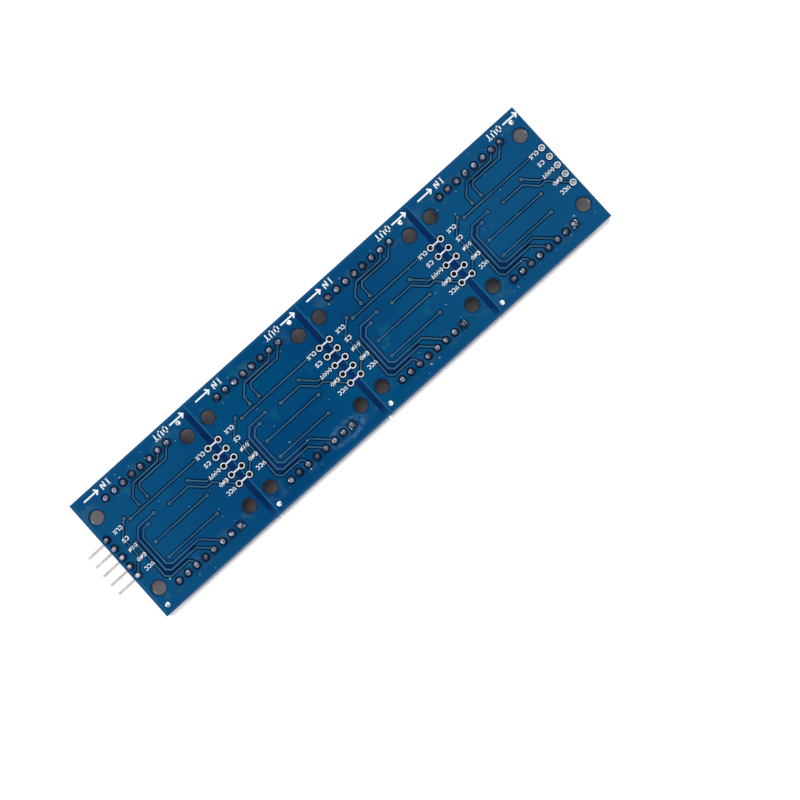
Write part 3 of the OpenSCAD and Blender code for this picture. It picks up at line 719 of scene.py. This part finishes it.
# How much a round drop is stretched along, across and up, and how high above
# the mask its middle stands, for each millimetre of its radius
BEAD_LENGTHS = (0.8, 1.5)
BEAD_WIDTHS = (0.7, 1.2)
BEAD_HEIGHT = 0.35
BEAD_RAISED = 0.1
bead_finish, tree, shader = cloudy_finish("solder_beads", paint(104, 140, 172), paint(184, 204, 220), 900.0,
                                          Metallic=0.3, Roughness=0.4)
beads = bmesh.new()
for bead in range(BEADS):
    # most drops are near the smaller size
    radius = (BEAD_SIZES[0] + (BEAD_SIZES[1] - BEAD_SIZES[0]) * chance.random() ** 3) * MM
    x = centre_x(chance.choice(DISPLAYS)) + chance.uniform(-BEAD_ALONG, BEAD_ALONG) * MM
    if bead % 3:
        side = chance.choice((-1, 1))
        y = side * (ROW_Y + chance.choice((-1, 1)) * chance.uniform(*BEAD_OFF_ROW) * MM)
    else:
        y = chance.uniform(*BEAD_ACROSS) * MM
    made = bmesh.ops.create_icosphere(beads, subdivisions=2, radius=radius)["verts"]
    shape = (chance.uniform(*BEAD_LENGTHS), chance.uniform(*BEAD_WIDTHS), BEAD_HEIGHT)
    bmesh.ops.scale(beads, vec=shape, verts=made)
    turn = Matrix.Rotation(chance.uniform(0, math.pi), 3, "Z")
    bmesh.ops.rotate(beads, cent=(0, 0, 0), matrix=turn, verts=made)
    bmesh.ops.translate(beads, vec=(x, y, COPPER_T + BEAD_RAISED * radius), verts=made)
fit_piece("solder_beads", beads, bead_finish)


# Input header: five square pins of tinned brass in one black moulded block
# under the board. They bend out past the board's end.
pin_tin, tree, shader = cloudy_finish("drawn_tin", paint(184, 180, 178), paint(220, 218, 216), 500.0,
                                      0.3, 0.7, Metallic=0.85, Roughness=0.32)
vary(tree, shader.inputs["Roughness"], with_group(tree, cloud_group, Scale=900.0), 0.24, 0.42)
roughen(tree, shader, 1500.0, 0.2, 0.02 * MM, stretch=(0.1, 1, 1))
dress(pin_tin, "header_pins")
black_moulding, tree, shader = cloudy_finish("black_moulding", paint(22, 22, 24), paint(36, 36, 39), 500.0,
                                             0.35, 0.7, 3.0, Specular_IOR_Level=0.4, Roughness=0.55)
roughen(tree, shader, 6000.0, 0.35, 0.02 * MM)
dress(black_moulding, "header_block")


# Sockets: two black moulded bars of eight contacts stand between the board and
# each display. The contacts are tinned brass, and their tails end in the joints.
dress(black_moulding, *[f"{row}_socket_{n}" for row in ("upper", "lower") for n in DISPLAYS])
brass, tree, shader = cloudy_finish("tinned_brass", paint(84, 79, 80), paint(122, 115, 114), 1500.0,
                                    Metallic=0.9, Roughness=0.35)
roughen(tree, shader, 5000.0, 0.2, 0.01 * MM, stretch=(1, 1, 0.1))
dress(brass, *[f"socket_contacts_{n}" for n in DISPLAYS])
dress(pin_tin, *[f"display_pins_{n}" for n in DISPLAYS])


# Displays: a white moulded shell with a black printed face and a round
# reflector cup for each dot. Milky resin fills the cups from behind, and a
# carrier sunk in grey potting closes the back.
FACE_Z = cad_box[0].z
# How far below and above the face its black print reaches
PRINT_UNDER = 0.01 * MM
PRINT_OVER = 0.04 * MM
shell_finish, tree, shader = plain_finish("display_shell", Specular_IOR_Level=0.4, Roughness=0.42)
white = cloudy(tree, paint(232, 231, 238), paint(243, 242, 247), 120.0)
black = cloudy(tree, paint(16, 16, 18), paint(28, 28, 31), 300.0)
on_face = height_mask(tree, FACE_Z - PRINT_UNDER, FACE_Z + PRINT_OVER)
tree.links.new(mix_colours(tree, on_face, white, black), shader.inputs["Base Color"])
roughen(tree, shader, 3500.0, 0.25, 0.02 * MM)
dress(shell_finish, *[f"display_shell_{n}" for n in DISPLAYS])

resin, tree, shader = cloudy_finish("milky_resin", paint(222, 222, 214), paint(240, 240, 234), 260.0,
                                    Specular_IOR_Level=0.5, Roughness=0.3, Subsurface_Weight=0.35,
                                    Subsurface_Radius=(1.0, 0.9, 0.8), Subsurface_Scale=0.5 * MM)
roughen(tree, shader, 1200.0, 0.2, 0.03 * MM)
dress(resin, *[f"display_resin_{n}" for n in DISPLAYS])

potting, tree, shader = cloudy_finish("grey_potting", paint(124, 118, 121), paint(146, 140, 142), 180.0,
                                      detail=3.0, Specular_IOR_Level=0.5, Roughness=0.3)
roughen(tree, shader, 500.0, 0.3, 0.1 * MM)
dress(potting, *[f"display_carrier_{n}" for n in DISPLAYS])


# Driver chips: one black moulded body under the middle of each segment. Its
# sides slant to a parting line halfway up, where the leads come out.
CHIP_SIZE = (15.4 * MM, 7.5 * MM, 2.3 * MM)
CHIP_GAP = 0.15 * MM
CHIP_Z = -(BOARD_T + CHIP_GAP + CHIP_SIZE[2] / 2)
CHIP_SLANT = 0.3 * MM
CHIP_EDGE = 0.06 * MM
chip_black, tree, shader = cloudy_finish("chip_moulding", paint(26, 26, 28), paint(42, 42, 44), 400.0,
                                         0.35, 0.7, 3.0, Specular_IOR_Level=0.4, Roughness=0.5)
roughen(tree, shader, 8000.0, 0.4, 0.02 * MM)
for display in DISPLAYS:
    body = bmesh.new()
    bmesh.ops.create_cube(body, size=1)
    bmesh.ops.scale(body, vec=CHIP_SIZE, verts=body.verts)
    bmesh.ops.bisect_plane(body, geom=body.verts[:] + body.edges[:] + body.faces[:], plane_co=(0, 0, 0),
                           plane_no=(0, 0, 1))
    outer = [v for v in body.verts if abs(v.co.z) > CHIP_SIZE[2] / 4]
    slant = (1 - CHIP_SLANT / CHIP_SIZE[0], 1 - CHIP_SLANT / CHIP_SIZE[1], 1)
    bmesh.ops.scale(body, vec=slant, verts=outer)
    bmesh.ops.bevel(body, geom=body.edges[:], offset=CHIP_EDGE, segments=2, profile=0.5, affect="EDGES",
                    material=-1)
    bmesh.ops.translate(body, vec=(centre_x(display), 0, CHIP_Z), verts=body.verts)
    fit_piece(f"chip_body_{display}", body, chip_black, [f"driver_chip_{display}"])
dress(pin_tin, *[f"driver_leads_{n}" for n in DISPLAYS])


# Small parts beside each chip: a black resistor, a small and a large brown
# capacitor. Their bodies are fired ceramic, and their ends are dipped in tin.

# How far across the board the small parts are from its middle line, and half
# the bare ceramic on a small and on a large part
PART_STEP = 4.5 * MM
SMALL_HALF = 0.6 * MM
LARGE_HALF = 1.35 * MM


def capped_finish(name, middle, half, dark, light):
    """Ceramic between two tinned ends, for parts that lie across the board."""
    material, tree, shader = plain_finish(name, Roughness=0.45)
    from_middle = maths(tree, "ABSOLUTE", maths(tree, "SUBTRACT", on_piece(tree)[1], middle))
    capped = maths(tree, "GREATER_THAN", from_middle, half)
    body = cloudy(tree, dark, light, 900.0, detail=3.0)
    tree.links.new(mix_colours(tree, capped, body, paint(206, 206, 208)), shader.inputs["Base Color"])
    vary(tree, shader.inputs["Metallic"], capped, 0.0, 0.9)
    roughen(tree, shader, 3000.0, 0.25, 0.02 * MM)
    return material


black_ceramic = capped_finish("resistor", PART_STEP, SMALL_HALF, paint(30, 30, 34), paint(44, 44, 48))
dress(black_ceramic, "bias_resistors")
brown_ceramic = capped_finish("capacitor", -PART_STEP, SMALL_HALF,
                              paint(150, 120, 88), paint(176, 146, 112))
dress(brown_ceramic, "bypass_capacitors")
large_ceramic = capped_finish("large_capacitor", 0.0, LARGE_HALF,
                              paint(158, 128, 92), paint(182, 152, 116))
dress(large_ceramic, "supply_capacitors")
